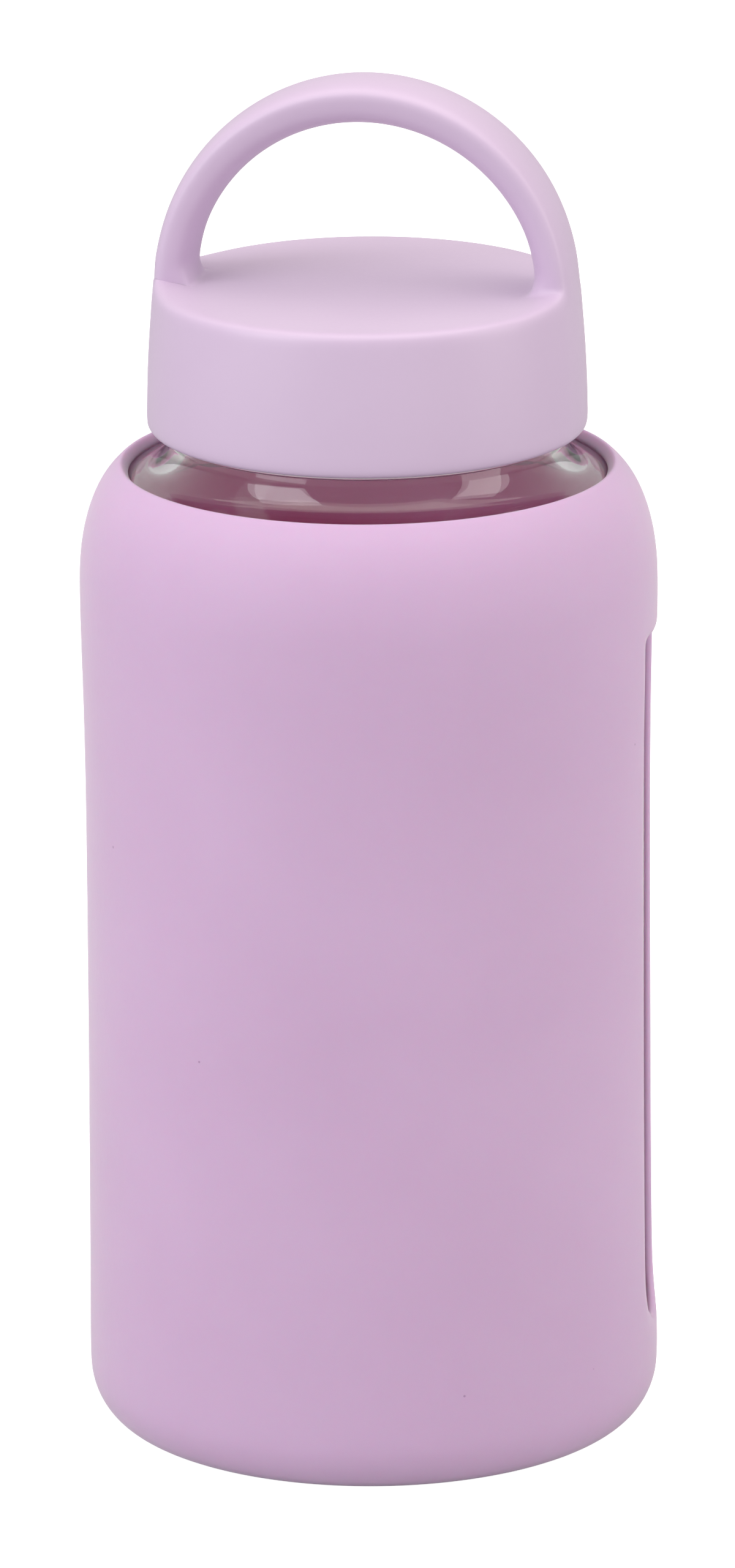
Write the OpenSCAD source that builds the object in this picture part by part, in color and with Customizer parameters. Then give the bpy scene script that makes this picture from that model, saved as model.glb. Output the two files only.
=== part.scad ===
// Glass water bottle with a silicone sleeve and a screw lid with a carry handle.
// Millimetres, +Z up, origin at the centre of the resting face.

/* [Glass bottle] */
// Outer diameter of the straight glass body
body_d = 84.7; // [66:0.1:110]
// Height above the floor at which the body ends and the shoulder starts
body_h = 135.1; // [70:0.1:220]
// Wall of the body
glass_wall = 3; // [2:0.1:5]
// Thickness of the glass floor
glass_floor = 6; // [4:0.1:12]
// Radius of the rounded heel between body and floor
heel_r = 5.5; // [3:0.1:10]
// How far the shoulder curves up above the body
shoulder_h = 16.9; // [8:0.1:26]
// How far round its oval the shoulder's curve runs, in degrees
shoulder_sweep = 83; // [76:0.5:86]
// Radial distance from the collar out to the end of the shoulder's curve
shoulder_step = 5.05; // [5:0.05:9]
// Height of the collar's straight band
collar_h = 2.9; // [1:0.1:6]
// Radius between shoulder and collar
collar_fillet = 5; // [2:0.1:6]
// Diameter of the open mouth
mouth_d = 49.6; // [36:0.1:54]
// Wall of the neck behind its thread
neck_wall = 2.6; // [2:0.1:4]
// Height of the threaded neck above the collar
neck_h = 14.3; // [12:0.1:22]
// Height over which the inside draws in from the collar to the mouth
neck_taper = 3.6; // [3:0.1:6]

/* [Screw thread] */
// Rise of the lid for each full turn
pitch = 4.23; // [3.5:0.01:5]
// Turns that the thread runs round the neck
thread_turns = 1.25; // [1:0.05:1.6]
// How far the thread stands out of the wall
thread_depth = 1.2; // [0.8:0.1:1.6]
// Width of the thread at its foot
thread_foot = 2.3; // [1.6:0.1:2.4]
// Width of the thread at its crest
thread_crest = 1.2; // [0.6:0.1:1.4]
// Radial gap between the two threads
thread_gap = 0.3; // [0.2:0.05:0.6]

/* [Lid] */
// Wall of the lid's skirt at its lower edge
lid_wall = 2.65; // [2:0.05:4]
// How much of the collar's straight band shows under the lid
collar_show = 1.7; // [0.5:0.1:4]
// How much the side draws in towards the top, at the radius
lid_draw = 1.15; // [0.2:0.05:1.2]
// Rounding of the lower and the upper edge
lid_round = 1.5; // [0.8:0.1:2]
// Thickness of the flat top
lid_top = 3; // [2:0.1:4]
// Gap between the collar and the inside of the skirt
collar_gap = 0.5; // [0.3:0.1:1]

/* [Carry handle] */
// How far the domed outside of the handle stands in from the edge of the lid's top
handle_inset = 0.2; // [0.1:0.05:2]
// Thickness of the handle at its middle
handle_t = 6; // [4:0.1:8]
// Width of the handle
handle_w = 14; // [10:0.1:20]
// Rounding along the outer edges of the handle
handle_round = 1.8; // [1:0.1:3]
// Turn of the handle about the bottle's axis in degrees
handle_turn = -10; // [-180:1:180]

/* [Lid liner and seal] */
// Wall of the liner behind its thread
liner_wall = 2.1; // [1.6:0.1:3]
// Thickness of the liner's disc under the lid's top
liner_disc = 1.6; // [1:0.1:2.5]
// Distance of the liner's lower edge above the collar
liner_gap = 1.2; // [0.6:0.1:3]
// Clearance between liner and lid shell
liner_fit = 0.1; // [0.05:0.05:0.3]
// Thickness of the seal ring
seal_t = 2; // [1.5:0.1:3]
// How far the seal ring reaches inside the mouth
seal_lap = 1.8; // [1:0.1:3]

/* [Silicone sleeve] */
// Wall of the sleeve at its two ends
sleeve_wall = 2.1; // [1.5:0.1:3]
// How much thinner the sleeve is at its waist
sleeve_waist = 0.5; // [0:0.05:0.9]
// Distance of the waist below the shoulder
waist_drop = 32; // [10:1:60]
// Thickness of the sleeve under the glass
sleeve_floor = 2.4; // [1.6:0.1:4]
// Height of the rounded foot corner
foot_h = 8.6; // [5:0.1:12]
// How far the rounded foot corner draws in
foot_w = 6.6; // [4:0.1:10]
// How far the sleeve's lip stops short of the shoulder curve's end, in degrees
lip_back = 13; // [0:1:30]
// Clearance between sleeve and glass
sleeve_fit = 0.05; // [0.02:0.01:0.2]
// Diameter of the shallow recess under the foot
recess_d = 60; // [40:1:70]
// Depth of the recess under the foot
recess_h = 0.6; // [0.3:0.1:1]

/* [Window in the sleeve] */
// Width of the window
window_w = 18.9; // [12:0.1:30]
// Height of the window's lower end above the floor
window_low = 15.6; // [9.5:0.1:40]
// Distance of the window's upper end below the shoulder
window_drop = 7.6; // [5:0.1:40]
// Rounding of the window's upper corners
window_round = 2; // [1:0.1:6]
// Direction of the window about the bottle's axis in degrees
window_turn = -4.7; // [-180:1:180]

/* [Hidden] */

$fn = 96;
arc_steps = 12;
thread_steps = 48;       // rings of the thread in one turn
thread_fade = 30;        // degrees over which a thread end sinks into its wall
bite = 0.5;              // how deep a thread's foot is set into its wall
rim_round = 0.8;
seal_round = 0.4;
cut_reach = 12;          // how far the window's cutter passes the sleeve

// Screw closure, from the mouth outwards
mouth_r = mouth_d / 2;
neck_r = mouth_r + neck_wall;
root_r = neck_r + thread_depth + thread_gap;
liner_r = root_r + liner_wall;
lid_bore_r = liner_r + liner_fit;
collar_r = lid_bore_r - collar_gap;
lid_r = lid_bore_r + lid_wall;

// Shoulder of the glass: an oval outside and a smaller one inside
body_r = body_d / 2;
cavity_r = body_r - glass_wall;
end_r = collar_r + shoulder_step;
shoulder_w = oval_width(body_r, end_r);
slope = end_slope(shoulder_w, shoulder_h);
inner_w = oval_width(cavity_r, end_r - glass_wall * sin(slope));
inner_h = shoulder_h - glass_wall * cos(slope) / sin(shoulder_sweep);

// Heights from the floor up
cavity_z = sleeve_floor + glass_floor;
shoulder_end = [end_r, body_h + shoulder_h * sin(shoulder_sweep)];
collar_z = fillet_z(shoulder_end, collar_r, collar_fillet, slope);
collar_top = collar_z + collar_h;
rim_z = collar_top + neck_h;
disc_z = rim_z + seal_t;
lid_inner_z = disc_z + liner_disc;
lid_top_z = lid_inner_z + lid_top;
lid_low_z = collar_z + collar_show;
lid_h = lid_top_z - lid_low_z;
lid_top_r = lid_r - lid_draw;
handle_r = lid_top_r - handle_inset;
liner_low_z = collar_top + liner_gap;

// Threads: the lid's thread runs half a pitch below the neck's
thread_rise = pitch * thread_turns;
lid_thread_z = liner_low_z + thread_foot / 2 + 0.1;
neck_thread_z = lid_thread_z + pitch / 2;

// Sleeve
sleeve_r = body_r + sleeve_wall;
lip_t = shoulder_sweep - lip_back;
lip_r = sleeve_wall / 2;
waist_h = body_h - waist_drop;
window_high = body_h - window_drop;

// Points on a circle's arc about [x, z]
function arc(x, z, r, from, to, n = arc_steps) =
    [for (i = [0:n]) let (a = from + (to - from) * i / n) [x + r * cos(a), z + r * sin(a)]];

// Points on an ellipse's arc about [x, z]
function oval(x, z, a, b, from, to, n = arc_steps) =
    [for (i = [0:n]) let (t = from + (to - from) * i / n) [x + a * cos(t), z + b * sin(t)]];

// Value that eases from one figure to another as part goes from 0 to 1
function ease(from, to, part) = from + (to - from) * (1 - cos(180 * part)) / 2;

// Half width of an oval that leaves radius from upright and ends at radius to
function oval_width(from, to) = (from - to) / (1 - cos(shoulder_sweep));

// Slope from level at which such an oval ends
function end_slope(w, h) = atan(h * cos(shoulder_sweep) / (w * sin(shoulder_sweep)));

// A point of the shoulder's outer curve at t degrees, moved outwards by off
function shoulder_point(t, off) =
    let (across = shoulder_h * cos(t), up = shoulder_w * sin(t), m = norm([across, up]))
    [body_r - shoulder_w * (1 - cos(t)) + off * across / m,
     body_h + shoulder_h * sin(t) + off * up / m];

function shoulder(off, to, n = 20) = [for (i = [0:n]) shoulder_point(to * i / n, off)];

// Height of the centre of a fillet that joins a slope ending at end to an upright wall
function fillet_z(end, r, fillet, tilt) =
    end[1] + (end[0] - r - fillet * (1 - sin(tilt))) * tan(tilt) + fillet * cos(tilt);

// Radius of the sleeve's outside at a height between foot and shoulder
function sleeve_at(z) = sleeve_r - sleeve_waist * (z > waist_h
    ? (1 + cos(180 * (z - waist_h) / (body_h - waist_h))) / 2
    : 1 - pow((waist_h - z) / (waist_h - foot_h), 2));

// Radius of the lid's side at a height above its lower edge
function lid_at(h) = lid_r - lid_draw * pow(h / lid_h, 2);

// Corners of a thread's section; out is 1 on the neck and -1 inside the liner
function thread_ring(r, z, depth, out) =
    [[r - out * bite, z - thread_foot / 2],
     [r + out * depth, z - thread_crest / 2],
     [r + out * depth, z + thread_crest / 2],
     [r - out * bite, z + thread_foot / 2]];

module thread(r, z, out) {
    steps = round(thread_steps * thread_turns);
    total = 360 * thread_turns;
    points = [for (i = [0:steps]) let (
        a = total * i / steps,
        fade = min(1, min(a, total - a) / thread_fade),
        depth = (thread_depth + bite / 2) * fade - bite / 2)
        for (p = thread_ring(r, z + thread_rise * i / steps, depth, out))
            [p[0] * cos(a), p[0] * sin(a), p[1]]];
    sides = [for (i = [0:steps - 1], k = [0:3]) let (
        a = 4 * i + k, b = 4 * i + (k + 1) % 4, c = a + 4, d = b + 4)
        each [[a, b, d], [a, d, c]]];
    last = 4 * steps;
    ends = [[0, 2, 1], [0, 3, 2], [last, last + 1, last + 2], [last, last + 2, last + 3]];
    faces = concat(sides, ends);
    polyhedron(points, out > 0 ? faces : [for (f = faces) [f[0], f[2], f[1]]]);
}

module glass_bottle() {
    outside = concat(
        [[0, sleeve_floor]],
        arc(body_r - heel_r, sleeve_floor + heel_r, heel_r, -90, 0),
        shoulder(0, shoulder_sweep),
        arc(collar_r + collar_fillet, collar_z, collar_fillet, 270 - slope, 180),
        [[collar_r, collar_top], [neck_r, collar_top]],
        arc(neck_r - rim_round, rim_z - rim_round, rim_round, 0, 90));
    inside = concat(
        arc(mouth_r + rim_round, rim_z - rim_round, rim_round, 90, 180),
        [for (i = [12:-1:1]) [ease(collar_r - glass_wall, mouth_r, i / 12), collar_z + neck_taper * i / 12]],
        arc(collar_r + collar_fillet, collar_z, collar_fillet + glass_wall, 180, 270 - slope),
        oval(cavity_r - inner_w, body_h, inner_w, inner_h, shoulder_sweep, 0, 20),
        arc(cavity_r - heel_r, cavity_z + heel_r, heel_r, 0, -90),
        [[0, cavity_z]]);
    color([0.93, 0.96, 0.96, 0.6]) union() {
        rotate_extrude() polygon(concat(outside, inside));
        thread(neck_r, neck_thread_z, 1);
    }
}

module silicone_sleeve() {
    lip = shoulder_point(lip_t, lip_r);
    lip_tilt = atan2(shoulder_w * sin(lip_t), shoulder_h * cos(lip_t));
    side_steps = 24;
    outside = concat(
        [[0, recess_h], [recess_d / 2, recess_h], [recess_d / 2, 0]],
        oval(sleeve_r - foot_w, foot_h, foot_w, foot_h, -90, 0),
        [for (i = [1:side_steps - 1]) let (z = foot_h + (body_h - foot_h) * i / side_steps)
            [sleeve_at(z), z]],
        shoulder(sleeve_wall, lip_t),
        arc(lip[0], lip[1], lip_r - sleeve_fit, lip_tilt, lip_tilt + 180));
    inside = concat(
        [for (i = [19:-1:0]) shoulder_point(lip_t * i / 20, sleeve_fit)],
        arc(body_r - heel_r, sleeve_floor + heel_r, heel_r + sleeve_fit, 0, -90),
        [[body_r - heel_r, sleeve_floor], [0, sleeve_floor]]);
    color("thistle") difference() {
        rotate_extrude() polygon(concat(outside, inside));
        rotate([0, 0, window_turn]) window();
    }
}

// Cutter for the window: round below, with two small corners above
module window() {
    low = window_low + window_w / 2;
    half = window_w / 2 - window_round;
    translate([sleeve_r - cut_reach, 0, 0]) rotate([90, 0, 90]) linear_extrude(2 * cut_reach) {
        translate([0, low]) circle(d = window_w);
        translate([-window_w / 2, low]) square([window_w, window_high - window_round - low]);
        translate([-half, low]) square([2 * half, window_high - low]);
        for (side = [-half, half])
            translate([side, window_high - window_round]) circle(window_round);
    }
}

// Section of the handle: part of a circle outside, half an oval inside
module handle_section() {
    half = handle_w / 2;
    edge = half - handle_round;
    x = sqrt(pow(handle_r - handle_round, 2) - pow(edge, 2));
    lean = asin(edge / (handle_r - handle_round));
    polygon(concat(
        arc(0, 0, handle_r, -lean, lean, 8),
        arc(x, edge, handle_round, lean, 90, 6),
        oval(x, 0, x - handle_r + handle_t, half, 90, 270, 20),
        arc(x, -edge, handle_round, -90, -lean, 6)));
}

module handle() {
    leg = lid_top - liner_fit;
    rotate([90, 0, 0]) rotate_extrude(angle = 180) handle_section();
    for (side = [0, 180]) rotate([0, 0, side])
        translate([0, 0, -leg]) linear_extrude(leg) intersection() {
            handle_section();
            translate([0, -handle_w]) square([lid_top_r - lid_round / 4, 2 * handle_w]);
        }
}

module lid_shell() {
    edge_z = lid_low_z + lid_round;
    side = lid_h - 2 * lid_round;
    side_steps = 12;
    outside = concat(
        [[lid_bore_r, lid_low_z]],
        arc(lid_r - lid_round, edge_z, lid_round, -90, 0, 8),
        [for (i = [1:side_steps - 1]) let (h = lid_round + side * i / side_steps)
            [lid_at(h), lid_low_z + h]],
        arc(lid_top_r - lid_round, lid_top_z - lid_round, lid_round, 0, 90, 8),
        [[0, lid_top_z], [0, lid_inner_z], [lid_bore_r, lid_inner_z]]);
    color("thistle") union() {
        rotate_extrude() polygon(outside);
        translate([0, 0, lid_top_z]) rotate([0, 0, handle_turn]) handle();
    }
}

module lid_liner() {
    color("lavender") union() {
        rotate_extrude() polygon([
            [0, lid_inner_z], [liner_r, lid_inner_z], [liner_r, liner_low_z],
            [root_r, liner_low_z], [root_r, disc_z], [0, disc_z]]);
        thread(root_r, lid_thread_z, -1);
    }
}

module seal_ring() {
    outer = root_r - thread_gap;
    inner = mouth_r - seal_lap;
    color("white") rotate_extrude() polygon(concat(
        arc(outer - seal_round, rim_z + seal_round, seal_round, -90, 0, 6),
        [[outer, disc_z], [inner, disc_z]],
        arc(inner + seal_round, rim_z + seal_round, seal_round, 180, 270, 6)));
}

glass_bottle();
silicone_sleeve();
lid_shell();
lid_liner();
seal_ring();
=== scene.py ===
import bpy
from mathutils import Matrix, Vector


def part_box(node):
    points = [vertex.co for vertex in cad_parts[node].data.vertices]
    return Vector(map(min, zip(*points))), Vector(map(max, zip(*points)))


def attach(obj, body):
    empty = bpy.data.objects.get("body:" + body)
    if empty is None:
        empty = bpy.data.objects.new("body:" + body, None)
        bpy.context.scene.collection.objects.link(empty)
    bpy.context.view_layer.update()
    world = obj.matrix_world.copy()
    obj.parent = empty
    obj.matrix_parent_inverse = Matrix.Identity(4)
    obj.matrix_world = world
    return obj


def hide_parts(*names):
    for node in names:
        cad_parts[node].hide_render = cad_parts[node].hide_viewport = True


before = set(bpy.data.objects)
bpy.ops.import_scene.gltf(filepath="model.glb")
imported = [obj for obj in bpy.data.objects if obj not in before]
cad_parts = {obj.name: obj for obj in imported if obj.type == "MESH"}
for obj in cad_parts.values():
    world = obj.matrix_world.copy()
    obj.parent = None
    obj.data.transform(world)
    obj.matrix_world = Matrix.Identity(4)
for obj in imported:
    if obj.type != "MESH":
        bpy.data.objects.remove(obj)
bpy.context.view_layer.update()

import bpy
import bmesh
from mathutils import Vector
from math import sin, cos, tan, asin, atan, atan2, sqrt, pi, radians, degrees

scene = bpy.context.scene
mm = 0.001


# ---------------------------------------------------------------- camera and room

cameraSetup = {
    "distance": 1.620,      # level distance from the bottle's axis
    "height": 0.5775,       # above the floor
    "sideways": -0.0004,
    "tilt": 16.38,          # degrees below level
    "roll": -0.40,
    "lens": 250.7,
}


def addCamera():
    print("camera")
    lens = bpy.data.cameras.new("bottleCamera")
    lens.lens = cameraSetup["lens"]
    lens.sensor_width = 36
    lens.clip_end = 20
    camera = bpy.data.objects.new("bottleCamera", lens)
    scene.collection.objects.link(camera)
    camera.location = (cameraSetup["sideways"], -cameraSetup["distance"], cameraSetup["height"])
    camera.rotation_euler = (radians(90 - cameraSetup["tilt"]), 0, 0)
    camera.rotation_euler.rotate_axis("Z", radians(cameraSetup["roll"]))
    scene.camera = camera


addCamera()


# ---------------------------------------------------------------- shader helpers

class Value:
    """A socket that takes part in Python arithmetic."""

    def __init__(self, paint, socket):
        self.paint = paint
        self.socket = socket

    def math(self, operation, *others, clamp=False):
        values = [self] + list(others)
        return self.paint.node("ShaderNodeMath", {"operation": operation, "use_clamp": clamp},
                               dict(enumerate(values)))

    def __add__(self, other): return self.math("ADD", other)
    __radd__ = __add__
    def __mul__(self, other): return self.math("MULTIPLY", other)
    __rmul__ = __mul__
    def __sub__(self, other): return self.math("SUBTRACT", other)
    def __rsub__(self, other): return self.paint.number(other).math("SUBTRACT", self)
    def __truediv__(self, other): return self.math("DIVIDE", other)
    def __lt__(self, other): return self.math("LESS_THAN", other)
    def __gt__(self, other): return self.math("GREATER_THAN", other)


class Paint:
    """A material and its node tree."""

    def __init__(self, name):
        self.material = bpy.data.materials.new(name)
        self.material.use_nodes = True
        self.tree = self.material.node_tree
        self.shader = self.tree.nodes["Principled BSDF"]
        self.place = self.node("ShaderNodeTexCoord", out="Object")

    def node(self, kind, settings={}, inputs={}, out=0):
        made = self.tree.nodes.new(kind)
        for name, value in settings.items():
            if name == "stops":
                ramp = made.color_ramp
                while len(ramp.elements) < len(value):
                    ramp.elements.new(1)
                for element, (position, color) in zip(ramp.elements, value):
                    element.position = position
                    element.color = color
            else:
                setattr(made, name, value)
        for name, value in inputs.items():
            self.feed(made.inputs[name], value)
        return Value(self, made.outputs[out])

    def number(self, value):
        made = self.tree.nodes.new("ShaderNodeValue")
        made.outputs[0].default_value = value
        return Value(self, made.outputs[0])

    def feed(self, socket, value):
        if isinstance(value, Value):
            self.tree.links.new(value.socket, socket)
        else:
            socket.default_value = value

    def set(self, **values):
        for name, value in values.items():
            self.feed(self.shader.inputs[name.replace("_", " ")], value)

    def mix(self, amount, first, second):
        mixed = self.node("ShaderNodeMix", {"data_type": "RGBA"}, {0: amount, 6: first, 7: second}, out=2)
        return mixed

    def noise(self, scale, detail=2, rough=0.5, place=None):
        return self.node("ShaderNodeTexNoise", {}, {
            "Vector": place or self.place, "Scale": scale, "Detail": detail, "Roughness": rough})

    def dots(self, scale, size, share):
        """1 inside small round dots, in this share of the cells."""
        cells = self.node("ShaderNodeTexVoronoi", {"feature": "F1"}, {"Vector": self.place, "Scale": scale})
        tint = Value(self, cells.socket.node.outputs["Color"])
        chance = self.node("ShaderNodeSeparateColor", {}, {0: tint})
        return (cells < size) * (chance < share)

    def finish(self, shader):
        self.tree.links.new(shader.socket, self.tree.nodes["Material Output"].inputs["Surface"])

    def bump(self, height, strength, distance):
        normal = self.node("ShaderNodeBump", {}, {
            "Height": height, "Strength": strength, "Distance": distance}, out=0)
        self.set(Normal=normal)


def srgb(code):
    """Linear colour of a written colour such as CBA8CB."""
    parts = [int(code[i:i + 2], 16) / 255 for i in (0, 2, 4)]
    return tuple(p / 12.92 if p <= 0.04045 else ((p + 0.055) / 1.055) ** 2.4 for p in parts) + (1,)


# ---------------------------------------------------------------- modelling helpers

def deselectAll():
    if bpy.context.object and bpy.context.object.mode != "OBJECT":
        bpy.ops.object.mode_set(mode="OBJECT")
    bpy.ops.object.select_all(action="DESELECT")


def onlySelect(piece):
    deselectAll()
    piece.select_set(True)
    bpy.context.view_layer.objects.active = piece


def selectWhere(piece, test, kind="VERT"):
    """Selects what passes the test, in edit mode, and leaves edit mode on."""
    bpy.ops.object.mode_set(mode="EDIT")
    bpy.ops.mesh.select_mode(type=kind)
    bpy.ops.mesh.select_all(action="DESELECT")
    bpy.ops.object.mode_set(mode="OBJECT")
    mesh = piece.data
    if kind == "VERT":
        for vertex in mesh.vertices:
            vertex.select = test(vertex.co)
    elif kind == "FACE":
        for face in mesh.polygons:
            face.select = test(face.center)
    bpy.ops.object.mode_set(mode="EDIT")


def ringTower(name, columns, outline, angles=None):
    """A ring of vertices extruded from each point of the outline to the next."""
    deselectAll()
    radius, height = outline[0]
    bpy.ops.mesh.primitive_circle_add(vertices=columns, radius=radius, location=(0, 0, height))
    piece = bpy.context.object
    piece.name = name
    bpy.ops.object.transform_apply(location=True, rotation=True, scale=True)
    bpy.ops.object.mode_set(mode="EDIT")
    bpy.ops.mesh.select_mode(type="VERT")
    bpy.ops.mesh.select_all(action="SELECT")
    for nextRadius, nextHeight in outline[1:]:
        bpy.ops.mesh.extrude_region_move(TRANSFORM_OT_translate={"value": (0, 0, nextHeight - height)})
        grow = nextRadius / radius
        bpy.ops.transform.resize(value=(grow, grow, 1), center_override=(0, 0, nextHeight))
        radius, height = nextRadius, nextHeight
    bpy.ops.object.mode_set(mode="OBJECT")
    return piece


def closePole(piece, radius, height):
    """Draws the ring at this place in to one vertex on the axis."""
    near = 0.02 * mm
    selectWhere(piece, lambda v: abs(v.z - height) < near and abs(sqrt(v.x ** 2 + v.y ** 2) - radius) < near)
    bpy.ops.mesh.extrude_region_move()
    bpy.ops.mesh.merge(type="CENTER")
    bpy.ops.object.mode_set(mode="OBJECT")


def faceOutwards(piece):
    onlySelect(piece)
    bpy.ops.object.mode_set(mode="EDIT")
    bpy.ops.mesh.select_all(action="SELECT")
    bpy.ops.mesh.remove_doubles(threshold=0.005 * mm)
    bpy.ops.mesh.normals_make_consistent(inside=False)
    bpy.ops.object.mode_set(mode="OBJECT")


def useModifier(piece, kind, **settings):
    onlySelect(piece)
    modifier = piece.modifiers.new(kind.lower(), kind)
    for name, value in settings.items():
        setattr(modifier, name, value)
    bpy.ops.object.modifier_apply(modifier=modifier.name)


def smooth(piece, angle=180):
    onlySelect(piece)
    if angle >= 180:
        bpy.ops.object.shade_smooth()
    else:
        bpy.ops.object.shade_smooth_by_angle(angle=radians(angle))


def wear(piece, paint):
    piece.data.materials.clear()
    piece.data.materials.append(paint.material)


def arc(x, z, across, up, start, end, steps):
    """Points of an oval's arc, from one angle to another in degrees."""
    turns = [radians(start + (end - start) * i / steps) for i in range(steps + 1)]
    return [(x + across * cos(t), z + up * sin(t)) for t in turns]


# ---------------------------------------------------------------- materials

sleeveLook = {
    "light": "CCAED0",
    "deep": "C4A3C6",
    "speck": "8F6B93",
    # painted glow, emitted by the sleeve only where it is seen through the glass
    "glow": "5D1934",
    "roughness": 0.62,
}


def sleevePaint():
    p = Paint("sleeveSilicone")
    cloud = p.noise(28, 3)
    grain = p.noise(900, 2)
    tone = p.mix(cloud, srgb(sleeveLook["light"]), srgb(sleeveLook["deep"]))
    specks = p.dots(150, 0.035, 0.10)
    tone = p.mix(specks * 0.6, tone, srgb(sleeveLook["speck"]))
    p.set(Base_Color=tone, Roughness=sleeveLook["roughness"] + (grain - 0.5) * 0.1,
          Sheen_Weight=0.45, Sheen_Roughness=0.35, Specular_IOR_Level=0.4,
          Subsurface_Weight=0.5, Subsurface_Radius=(1.0, 0.4, 0.6), Subsurface_Scale=0.003)
    p.bump(grain + p.noise(240, 2), 0.15, 0.00012)
    # painted glow: the sleeve emits this colour only to rays seen through the glass, in place of light that comes
    # through the wall and lights the inside
    path = p.node("ShaderNodeLightPath", out="Is Transmission Ray")
    p.set(Emission_Color=p.mix(path, (0, 0, 0, 1), srgb(sleeveLook["glow"])), Emission_Strength=1)
    return p


lidLook = {
    "light": "CCB6D1",
    "deep": "C5AECB",
    "roughness": 0.43,
}


def lidPaint(name="lidPlastic"):
    p = Paint(name)
    cloud = p.noise(35, 3)
    grain = p.noise(1600, 2)
    tone = p.mix(cloud, srgb(lidLook["light"]), srgb(lidLook["deep"]))
    p.set(Base_Color=tone, Roughness=lidLook["roughness"] + (grain - 0.5) * 0.12, Specular_IOR_Level=0.5, Sheen_Weight=0.15,
          Sheen_Roughness=0.4)
    p.bump(grain, 0.08, 0.00008)
    return p


def glassPaint():
    p = Paint("clearGlass")
    p.set(Base_Color=(0.985, 0.99, 0.99, 1), Roughness=0.0, Transmission_Weight=1.0, IOR=1.46,
          Specular_IOR_Level=0.15)
    p.bump(p.noise(30, 1), 0.05, 0.0003)
    # light falls straight through, so that the inside is lit
    path = p.node("ShaderNodeLightPath", out="Is Shadow Ray")
    clear = p.node("ShaderNodeBsdfTransparent", {}, {"Color": (0.93, 0.95, 0.94, 1)})
    p.finish(p.node("ShaderNodeMixShader", {}, {0: path, 1: Value(p, p.shader.outputs[0]), 2: clear}))
    return p


def sealPaint():
    p = Paint("sealSilicone")
    grain = p.noise(700, 2)
    p.set(Base_Color=srgb("E9E6E4"), Roughness=0.45 + (grain - 0.5) * 0.1, Subsurface_Weight=0.2)
    p.bump(grain, 0.1, 0.0001)
    return p


# ---------------------------------------------------------------- sizes shared by the pieces

glassLow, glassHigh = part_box("glass_bottle")
sleeveLow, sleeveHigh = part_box("silicone_sleeve")
lidLow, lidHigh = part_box("lid_shell")
linerLow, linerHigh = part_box("lid_liner")
sealLow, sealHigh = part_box("seal_ring")

glassShape = {
    "wall": 3 * mm,
    "floor": 6 * mm,
    "heel": 5.5 * mm,
    "shoulderStart": 135.1 * mm,
    "shoulderRise": 16.9 * mm,
    "shoulderSweep": 83,
    "collarRadius": 30.6 * mm,
    "shoulderEnd": 35.65 * mm,
    "collarFillet": 5 * mm,
    "collarBand": 2.9 * mm,
    "mouthRadius": 24.8 * mm,
    "neckRadius": 27.4 * mm,
    "neckTaper": 3.6 * mm,      # height over which the inside draws in to the mouth
    "rimRound": 0.8 * mm,
}
g = glassShape
bodyRadius = glassHigh[0]
shoulderWidth = (bodyRadius - g["shoulderEnd"]) / (1 - cos(radians(g["shoulderSweep"])))


def shoulderPoint(t, out):
    """A point of the shoulder's oval at t degrees, moved outwards."""
    t = radians(t)
    across = g["shoulderRise"] * cos(t)
    up = shoulderWidth * sin(t)
    size = sqrt(across ** 2 + up ** 2)
    return (bodyRadius - shoulderWidth * (1 - cos(t)) + out * across / size,
            g["shoulderStart"] + g["shoulderRise"] * sin(t) + out * up / size)


def ovalSlope(width, rise):
    return atan(rise / tan(radians(g["shoulderSweep"])) / width)


def filletHeight(end, radius, fillet, slope):
    return end[1] + (end[0] - radius - fillet * (1 - sin(slope))) * tan(slope) + fillet * cos(slope)


# ---------------------------------------------------------------- glass bottle

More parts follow.
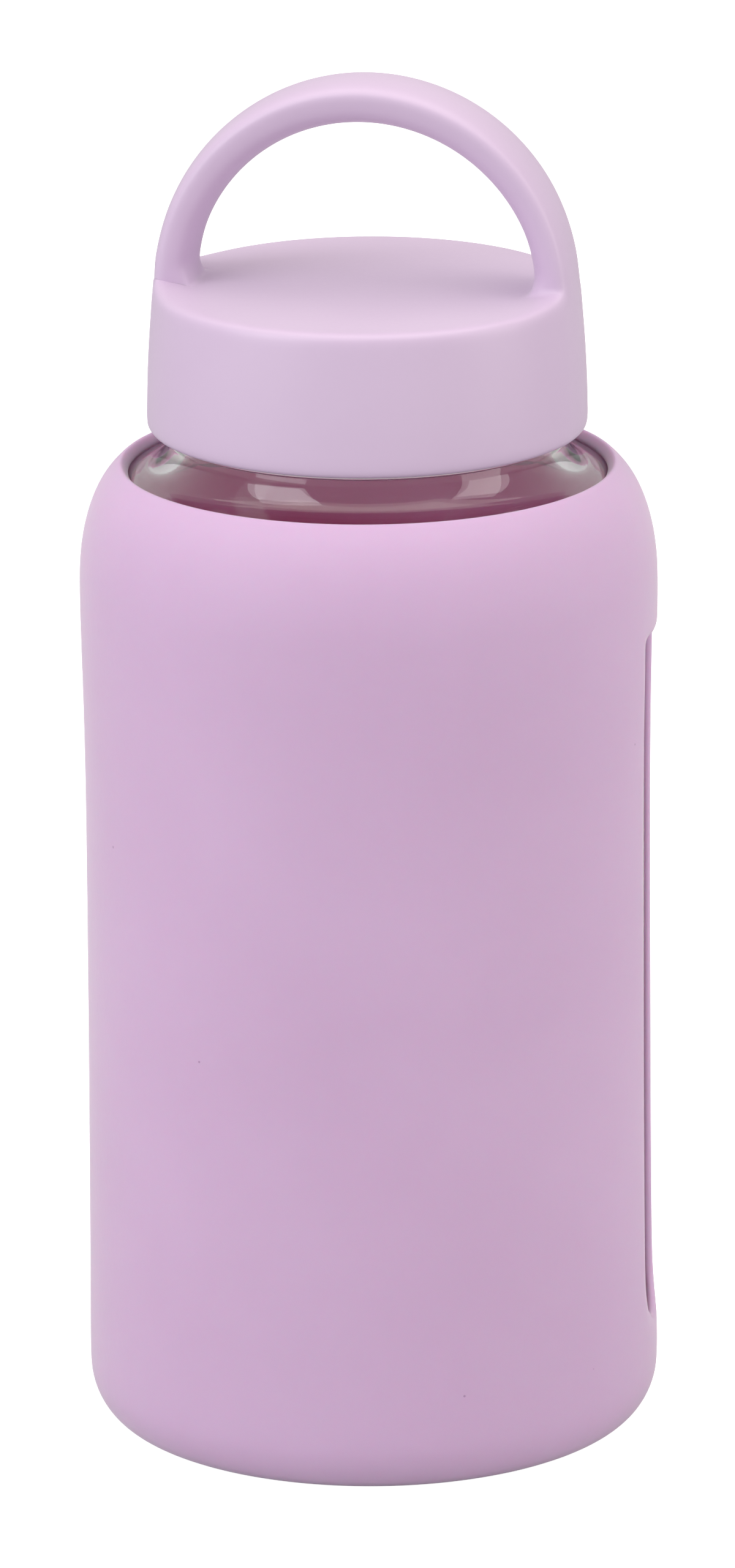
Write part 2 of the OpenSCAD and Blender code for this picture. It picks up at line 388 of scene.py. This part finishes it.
def buildGlass():
    print("glass bottle")
    sweep = g["shoulderSweep"]
    slope = ovalSlope(shoulderWidth, g["shoulderRise"])
    end = shoulderPoint(sweep, 0)
    cavity = bodyRadius - g["wall"]
    innerEnd = (end[0] - g["wall"] * sin(slope), end[1] - g["wall"] * cos(slope))
    innerWidth = (cavity - innerEnd[0]) / (1 - cos(radians(sweep)))
    innerRise = g["shoulderRise"] - g["wall"] * cos(slope) / sin(radians(sweep))
    collarHeight = filletHeight(end, g["collarRadius"], g["collarFillet"], slope)
    low = glassLow[2]
    top = glassHigh[2]
    heel = g["heel"]
    rim = g["rimRound"]
    floor = low + g["floor"]
    start = 10 * mm
    outline = [(start, low), (25 * mm, low)]
    outline += arc(bodyRadius - heel, low + heel, heel, heel, -90, 0, 8)
    outline += [(bodyRadius, low + heel + (g["shoulderStart"] - low - heel) * i / 6) for i in range(1, 6)]
    outline += [shoulderPoint(sweep * i / 18, 0) for i in range(19)]
    outline += arc(g["collarRadius"] + g["collarFillet"], collarHeight, g["collarFillet"], g["collarFillet"],
                   270 - degrees(slope), 180, 10)
    band = collarHeight + g["collarBand"]
    outline += [(g["collarRadius"], band - 0.4 * mm), (g["collarRadius"] - 0.4 * mm, band),
                (g["neckRadius"] + 0.3 * mm, band), (g["neckRadius"], band + 0.3 * mm)]
    outline += [(g["neckRadius"], band + (top - rim - band) * i / 4) for i in range(1, 4)]
    outline += arc(g["neckRadius"] - rim, top - rim, rim, rim, 0, 90, 5)
    outline += arc(g["mouthRadius"] + rim, top - rim, rim, rim, 90, 180, 5)
    throat = g["collarRadius"] - g["wall"]
    outline += [(throat + (g["mouthRadius"] - throat) * (1 - cos(pi * i / 8)) / 2,
                 collarHeight + g["neckTaper"] * i / 8) for i in range(8, 0, -1)]
    fillet = g["collarFillet"]
    outline += arc(g["collarRadius"] + fillet, collarHeight, fillet + g["wall"], fillet + g["wall"],
                   180, 270 - degrees(slope), 10)
    outline += arc(cavity - innerWidth, g["shoulderStart"], innerWidth, innerRise, sweep, 0, 18)
    outline += [(cavity, g["shoulderStart"] + (floor + heel - g["shoulderStart"]) * i / 6) for i in range(1, 6)]
    outline += arc(cavity - heel, floor + heel, heel, heel, 0, -90, 8)
    outline += [(20 * mm, floor), (start, floor)]
    piece = ringTower("glassBottle", 160, outline)
    closePole(piece, start, low)
    closePole(piece, start, floor)
    faceOutwards(piece)
    ridge = neckThread()
    useModifier(piece, "BOOLEAN", object=ridge, operation="UNION", solver="EXACT")
    bpy.data.objects.remove(ridge)
    smooth(piece, 35)
    wear(piece, glassPaint())
    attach(piece, "bottle")
    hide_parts("glass_bottle")
    return piece


threadShape = {
    "low": 164.534 * mm,
    "pitch": 4.23 * mm,
    "turns": 1.25,
    "depth": 1.2 * mm,
    "foot": 2.3 * mm,
    "crest": 1.2 * mm,
    "bite": 0.5 * mm,
    "fade": 30,
    "steps": 90,
}


def neckThread():
    """A ridge that winds up round the neck and sinks into it at both ends."""
    s = threadShape
    deselectAll()
    bpy.ops.mesh.primitive_plane_add(size=1)
    ridge = bpy.context.object
    ridge.name = "neckThread"
    root = g["neckRadius"] - s["bite"]
    crest = g["neckRadius"] + s["depth"]
    corners = [(root, -s["foot"] / 2), (crest, -s["crest"] / 2), (root, s["foot"] / 2), (crest, s["crest"] / 2)]
    for vertex, (x, z) in zip(ridge.data.vertices, corners):
        vertex.co = (x, 0, s["low"] + z)
    onlySelect(ridge)
    bpy.ops.object.mode_set(mode="EDIT")
    bpy.ops.mesh.select_all(action="SELECT")
    bpy.ops.mesh.delete(type="ONLY_FACE")
    bpy.ops.object.mode_set(mode="OBJECT")
    rise = s["pitch"] * s["turns"]
    useModifier(ridge, "SCREW", angle=radians(360 * s["turns"]), screw_offset=rise, steps=s["steps"],
                render_steps=s["steps"], use_normal_calculate=True)
    onlySelect(ridge)
    bpy.ops.object.mode_set(mode="EDIT")
    bpy.ops.mesh.select_all(action="SELECT")
    bpy.ops.mesh.fill_holes(sides=4)
    bpy.ops.object.mode_set(mode="OBJECT")
    for vertex in ridge.data.vertices:
        co = vertex.co
        radius = sqrt(co.x ** 2 + co.y ** 2)
        if radius < g["neckRadius"]:
            continue
        part = (degrees(atan2(co.y, co.x)) % 360) / 360
        turns = part + round((co.z - s["low"]) / s["pitch"] - part)
        ends = min(turns, s["turns"] - turns) * 360 / s["fade"]
        fade = min(1, max(0, ends))
        fade = fade * fade * (3 - 2 * fade)
        reach = (s["depth"] + s["bite"] / 2) * fade - s["bite"] / 2
        grow = (g["neckRadius"] + reach) / radius
        vertex.co = (co.x * grow, co.y * grow, co.z)
    faceOutwards(ridge)
    return ridge


# ---------------------------------------------------------------- silicone sleeve

sleeveShape = {
    "columns": 60,
    "wall": 2.1 * mm,
    "lipSweep": 70,             # degrees of the shoulder's oval that the sleeve covers
    "lip": 1.0 * mm,            # how far the cage runs on past them, before it is rounded
    "waist": 0.5 * mm,
    "waistDrop": 32 * mm,
    "footHeight": 8.6 * mm,
    "footDraw": 6.6 * mm,
    "recessRadius": 30 * mm,
    "recess": 0.6 * mm,
    "windowWidth": 18.0 * mm,   # a little under the real size, because rounding its edge opens it
    "windowLow": 16.0 * mm,
    "windowHigh": 127.3 * mm,
    "windowTurn": -4.7,
    "windowCorner": 0.7 * mm,   # the cage's upper corners stand out by this much
}


def sleeveRadius(z):
    s = sleeveShape
    waist = g["shoulderStart"] - s["waistDrop"]
    if z > waist:
        swell = (1 + cos(pi * (z - waist) / (g["shoulderStart"] - waist))) / 2
    else:
        swell = 1 - ((waist - z) / (waist - s["footHeight"])) ** 2
    return bodyRadius + s["wall"] - s["waist"] * swell


def buildSleeve():
    print("silicone sleeve")
    s = sleeveShape
    full = bodyRadius + s["wall"]
    columns = s["columns"]
    step = 360 / columns
    tight = 1 / (1 - (1 - cos(radians(step))) / 3)      # the subdivision draws a ring in by this much
    start = 8 * mm
    outline = [(start, s["recess"]), (22 * mm, s["recess"]), (s["recessRadius"] - 1.5 * mm, s["recess"]),
               (s["recessRadius"] + 0.2 * mm, 0), (s["recessRadius"] + 2.5 * mm, 0)]
    foot = arc(full - s["footDraw"], s["footHeight"], s["footDraw"], s["footHeight"], -90, 0, 6)
    outline += foot
    low = s["windowLow"]
    bend = low + s["windowWidth"] / 2
    rows = [low, 0.5 * (low + bend) + 0.6 * mm, bend]
    rows += [bend + (s["windowHigh"] - 2.2 * mm - bend) * i / 8 for i in range(1, 9)]
    rows += [s["windowHigh"], s["windowHigh"] + 2.6 * mm]
    outline += [(sleeveRadius(z), z) for z in rows]
    sweep = s["lipSweep"]
    outline += [shoulderPoint(sweep * i / 7, s["wall"]) for i in range(8)]
    lean = atan2(g["shoulderRise"] * cos(radians(sweep)), shoulderWidth * sin(radians(sweep)))
    tip = outline[-1]
    outline.append((tip[0] - s["lip"] * cos(lean), tip[1] + s["lip"] * sin(lean)))
    piece = ringTower("siliconeSleeve", columns, [(r * tight, z) for r, z in outline])
    closePole(piece, start * tight, s["recess"])

    # the window: faces out, then its border moved on to the outline
    def azimuth(v):
        return degrees(atan2(v[1], v[0]))
    half = s["windowWidth"] / 2
    near = 0.05 * mm
    border = 2 * step
    selectWhere(piece, lambda c: abs(azimuth(c)) < border and low < c[2] < s["windowHigh"], "FACE")
    bpy.ops.mesh.delete(type="FACE")
    bpy.ops.object.mode_set(mode="OBJECT")
    for vertex in piece.data.vertices:
        co = vertex.co
        if not (low - near < co.z < s["windowHigh"] + near):
            continue
        angle = azimuth(co)
        radius = sqrt(co.x ** 2 + co.y ** 2)
        if abs(angle) > border + step / 2:
            if abs(angle) < border + 1.5 * step:
                angle -= 0.6 * (1 if angle > 0 else -1)
            vertex.co = (radius * cos(radians(angle)), radius * sin(radians(angle)), co.z)
            continue
        if co.z < low + near:
            turn = angle / border * radians(50)         # along the round lower end
            side, z = half * sin(turn), bend - half * cos(turn)
        elif abs(angle) > border - step / 2:
            z = co.z
            side = half if z >= bend else sqrt(half ** 2 - (bend - z) ** 2)
            if z > s["windowHigh"] - near:
                z += s["windowCorner"]
                side += s["windowCorner"]
            side *= 1 if angle > 0 else -1
        else:
            continue
        angle = asin(side / radius)
        vertex.co = (radius * cos(angle), radius * sin(angle), z)
    onlySelect(piece)
    bpy.ops.object.mode_set(mode="EDIT")
    bpy.ops.mesh.select_all(action="SELECT")
    bpy.ops.transform.rotate(value=radians(-s["windowTurn"]), orient_axis="Z", center_override=(0, 0, 0))
    bpy.ops.object.mode_set(mode="OBJECT")
    faceOutwards(piece)
    useModifier(piece, "SOLIDIFY", thickness=s["wall"], offset=-1, use_even_offset=True,
                use_quality_normals=True, edge_crease_outer=0.25, edge_crease_inner=0.25)
    # the wall thins towards the waist, so the inside stays straight
    inside = bodyRadius + 0.04 * mm
    for vertex in piece.data.vertices:
        co = vertex.co
        radius = sqrt(co.x ** 2 + co.y ** 2)
        if s["footHeight"] + 1 * mm < co.z < g["shoulderStart"] and radius < inside * tight:
            grow = inside * tight / radius
            vertex.co = (co.x * grow, co.y * grow, co.z)
        if s["recess"] + 1 * mm < co.z < glassLow[2] + 1 * mm and radius < bodyRadius - 8 * mm:
            co.z = glassLow[2] - 0.02 * mm
    useModifier(piece, "SUBSURF", levels=2, render_levels=2)
    smooth(piece)
    wear(piece, sleevePaint())
    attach(piece, "bottle")
    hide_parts("silicone_sleeve")
    return piece


# ---------------------------------------------------------------- lid with its handle

lidShape = {
    "wallLow": 2.65 * mm,
    "bore": 31.1 * mm,
    "draw": 1.15 * mm,
    "handleRise": 32.4 * mm,
    "handleTurn": -10,
    "footHalf": 12.5,           # degrees of the lid's edge that the handle takes up, each side
    "footInner": 26.0 * mm,
    "footInnerCorner": 27.4 * mm,
    "legThin": 0.7 * mm,        # the handle's legs are thinner than its top
    "archThick": 0.4 * mm,
    "round": 2.6 * mm,          # distance of the loops that hold an edge
    "footLoop": 1.3 * mm,       # distance of the loops that keep the fillet at the foot small: inside
    "blend": 2.4 * mm,          # and in front
    "ridgeRise": 1.5 * mm,
    "archSteps": 20,
}


def buildLid():
    print("lid and handle")
    s = lidShape
    top = lidHigh[2] - s["handleRise"]
    low = lidLow[2]
    full = s["bore"] + s["wallLow"]
    height = top - low
    topRadius = full - s["draw"]
    hold = s["round"]

    def side(z):
        return full - s["draw"] * ((z - low) / height) ** 2
    ceiling = linerHigh[2]
    start = 6 * mm
    outline = [(start, ceiling), (20 * mm, ceiling), (s["bore"] - 1.5 * mm, ceiling), (s["bore"], ceiling - 0.1 * mm),
               (s["bore"], ceiling - 1.5 * mm), (s["bore"], ceiling - 8 * mm), (s["bore"], low + 1.2 * mm),
               (s["bore"] + 0.1 * mm, low), (s["bore"] + 1.0 * mm, low), (full, low),
               (side(low + hold), low + hold)]
    outline += [(side(low + height * i / 6), low + height * i / 6) for i in (2, 3, 4)]
    outline += [(side(top - hold), top - hold), (topRadius, top), (topRadius - hold, top),
                (s["footInner"], top), (s["footInner"] - s["footLoop"], top), (16 * mm, top), (start, top)]

    # columns: close together at the handle's feet, even elsewhere
    foot = s["footHalf"]
    beside = foot + degrees(s["blend"] / full)
    across = [-foot, -foot / 3, foot / 3, foot]
    rest = 12
    between = [beside + (180 - 2 * beside) * i / rest for i in range(rest + 1)]
    angles = across + between
    angles = angles + [a + 180 for a in angles]
    count = len(angles)
    piece = ringTower("lidShell", count, outline)
    for vertex in piece.data.vertices:
        co = vertex.co
        radius = sqrt(co.x ** 2 + co.y ** 2)
        index = round((degrees(atan2(co.y, co.x)) - 90) / 360 * count) % count
        before = angles[index - 1] - (360 if index == 0 else 0)
        after = angles[(index + 1) % count] + (360 if index == count - 1 else 0)
        here = angles[index]
        pull = (4 + cos(radians(here - before)) + cos(radians(after - here))) / 6
        radius /= pull
        vertex.co = (radius * cos(radians(here)), radius * sin(radians(here)), co.z)
    # the rim's ridge climbs into the front corners of the handle's feet
    for vertex in piece.data.vertices:
        co = vertex.co
        radius = sqrt(co.x ** 2 + co.y ** 2)
        angle = abs(degrees(atan2(co.y, abs(co.x))))
        if abs(co.z - top) < 0.05 * mm and radius > topRadius - hold - 0.1 * mm:
            rise = s["ridgeRise"] * (1 if radius > topRadius - 0.1 * mm else 0.5)
            co.z += rise if abs(angle - foot) < 0.5 else rise / 2 if abs(angle - beside) < 0.5 else 0
    closePoleAt(piece, ceiling, start)
    closePoleAt(piece, top, start)

    # the handle: both feet's faces, one spun over to the other
    near = 0.05 * mm

    def isFoot(c, right):
        radius = sqrt(c[0] ** 2 + c[1] ** 2)
        angle = degrees(atan2(c[1], c[0] if right else -c[0]))
        return -near < c[2] - top < 2 * mm and abs(angle) < foot and s["footInner"] < radius < topRadius
    selectWhere(piece, lambda c: isFoot(c, False), "FACE")
    bpy.ops.mesh.delete(type="FACE")
    bpy.ops.object.mode_set(mode="OBJECT")
    selectWhere(piece, lambda c: isFoot(c, True), "FACE")
    bpy.ops.mesh.spin(steps=s["archSteps"], angle=pi, center=(0, 0, top), axis=(0, 1, 0))
    bpy.ops.mesh.delete(type="FACE")
    bpy.ops.object.mode_set(mode="OBJECT")
    selectWhere(piece, lambda c: c[2] > top + 0.2 * mm, "FACE")
    bpy.ops.mesh.bisect(plane_co=(0, 0, top + s["blend"]), plane_no=(0, 0, 1))
    bpy.ops.object.mode_set(mode="OBJECT")
    stretch = s["handleRise"] / topRadius / (1 - (1 - cos(pi / s["archSteps"])) / 3)
    for vertex in piece.data.vertices:
        co = vertex.co
        if co.z < top + 0.5 * mm:
            continue
        lift = min(1, (co.z - top) / (8 * mm))
        reach = sqrt(co.x ** 2 + (co.z - top) ** 2)
        grow = 1 + (stretch - 1) * lift
        if reach < s["footInner"] + 1 * mm:
            high = (co.z - top) / reach
            grow *= 1 + (s["legThin"] * (1 - high) - s["archThick"] * high) * lift / reach
            if abs(co.y) > 4 * mm:
                grow *= s["footInnerCorner"] / reach
        vertex.co = (co.x * grow, co.y, top + (co.z - top) * grow)
    faceOutwards(piece)
    bpy.ops.object.mode_set(mode="EDIT")
    bpy.ops.mesh.select_all(action="SELECT")
    bpy.ops.transform.rotate(value=radians(-s["handleTurn"]), orient_axis="Z", center_override=(0, 0, 0))
    bpy.ops.object.mode_set(mode="OBJECT")
    useModifier(piece, "SUBSURF", levels=3, render_levels=3)
    smooth(piece)
    wear(piece, lidPaint())
    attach(piece, "lid")
    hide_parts("lid_shell")
    return piece


def closePoleAt(piece, height, around):
    """Closes the smallest ring at this height."""
    near = 0.02 * mm
    selectWhere(piece, lambda v: abs(v.z - height) < near and sqrt(v.x ** 2 + v.y ** 2) < around * 1.2)
    bpy.ops.mesh.extrude_region_move()
    bpy.ops.mesh.merge(type="CENTER")
    bpy.ops.object.mode_set(mode="OBJECT")


# ---------------------------------------------------------------- room

roomLook = {
    "world": 0.5,
    "throughGlass": 0.65,
    "floorGlow": 1.0,
}
panels = {
    "keyPanel": {"place": (-1.05, -0.75, 0.75), "size": (0.9, 1.1), "power": 10, "color": (0.96, 0.98, 1.0)},
    "fillPanel": {"place": (1.25, -0.4, 0.5), "size": (0.7, 1.1), "power": 6.5, "color": (1.0, 0.97, 0.95)},
    "topPanel": {"place": (0, -0.1, 1.2), "size": (1.8, 1.6), "power": 13, "color": (1.0, 0.98, 0.86)},
}


def addPanel(name, place, aim, size, power, color):
    panel = bpy.data.lights.new(name, "AREA")
    panel.shape = "RECTANGLE"
    panel.size, panel.size_y = size
    panel.energy = power
    panel.color = color
    lamp = bpy.data.objects.new(name, panel)
    scene.collection.objects.link(lamp)
    lamp.location = place
    lamp.rotation_euler = (Vector(aim) - Vector(place)).to_track_quat("-Z", "Y").to_euler()
    return lamp


def addRoom():
    print("room")
    scene.view_settings.view_transform = "Standard"
    world = bpy.data.worlds.new("studio")
    scene.world = world
    world.use_nodes = True
    tree = world.node_tree
    sky = tree.nodes["Background"]
    sky.inputs["Color"].default_value = (1, 1, 1, 1)
    path = tree.nodes.new("ShaderNodeLightPath")
    level = None
    for ray, low, high in (("Is Transmission Ray", roomLook["world"], roomLook["throughGlass"]), ("Is Camera Ray", None, 1.0)):
        step = tree.nodes.new("ShaderNodeMapRange")
        step.inputs["To Max"].default_value = high
        if level is None:
            step.inputs["To Min"].default_value = low
        else:
            tree.links.new(level.outputs[0], step.inputs["To Min"])
        tree.links.new(path.outputs[ray], step.inputs["Value"])
        level = step
    tree.links.new(level.outputs[0], sky.inputs["Strength"])

    deselectAll()
    bpy.ops.mesh.primitive_plane_add(size=8, location=(0, 0, 0))
    floor = bpy.context.object
    floor.name = "floor"
    p = Paint("floorPaper")
    seen = p.node("ShaderNodeLightPath")
    glow = roomLook["floorGlow"]
    p.set(Base_Color=(0.58, 0.58, 0.58, 1), Roughness=0.9, Specular_IOR_Level=0.0,
          Emission_Color=p.mix(seen, (0, 0, 0, 1), (glow, glow, glow, 1)), Emission_Strength=1)
    wear(floor, p)

    for name, panel in panels.items():
        addPanel(name, panel["place"], (0, 0, 0.11), panel["size"], panel["power"], panel["color"])



# ---------------------------------------------------------------- build

buildGlass()
buildSleeve()
buildLid()
wear(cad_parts["lid_liner"], lidPaint("linerPlastic"))
wear(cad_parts["seal_ring"], sealPaint())
addRoom()
